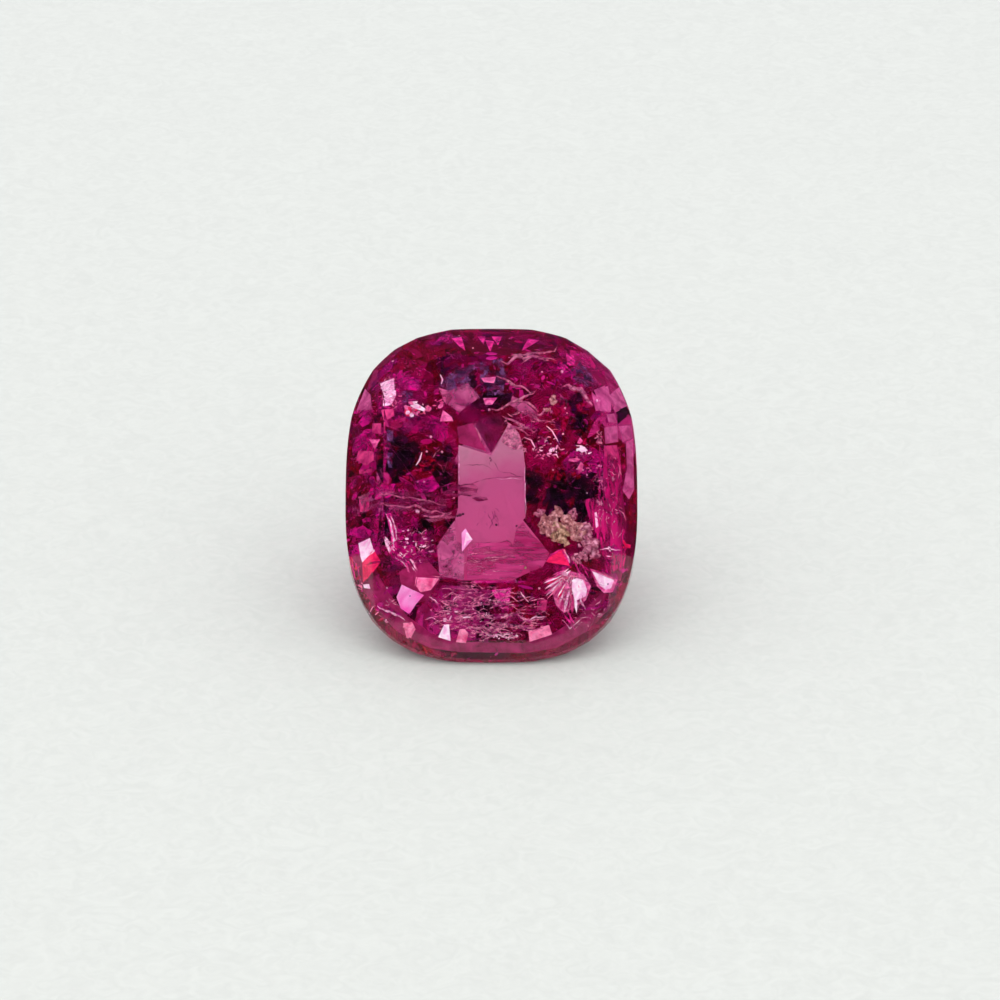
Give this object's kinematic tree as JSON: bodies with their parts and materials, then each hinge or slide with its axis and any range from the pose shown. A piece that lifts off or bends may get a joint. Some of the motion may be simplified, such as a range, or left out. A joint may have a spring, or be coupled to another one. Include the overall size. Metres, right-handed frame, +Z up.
{
  "type": "cushion-cut spinel gemstone",
  "caption": "Loose cushion-cut pinkish-red spinel with a broad table, stepped crown and deep off-centre pavilion, lying tilted on its front main facet.",
  "frame": {"origin": "on the surface that the stone lies on, under the middle of its bounding box", "axes": "+X to the stone's right seen from the front, +Y away from the front where its lower girdle edge touches the ground, +Z up. The table faces up and to the front, 39 degrees from +Z towards -Y."},
  "size_m": [0.006, 0.0062, 0.005],
  "materials": {
    "magenta_spinel": "clear magenta crystal, polished facets, many fine inclusions",
    "healed_fissure": "pale pink veils, threads and flakes sealed in the stone, faintly shiny",
    "host_crystal": "beige-green mineral grains sealed in the stone, matt",
    "dark_speck": "near-black mineral specks sealed in the stone, matt"
  },
  "bodies": {
    "root": {"cushion_cut_spinel": "magenta_spinel"}
  },
  "joints": []
}
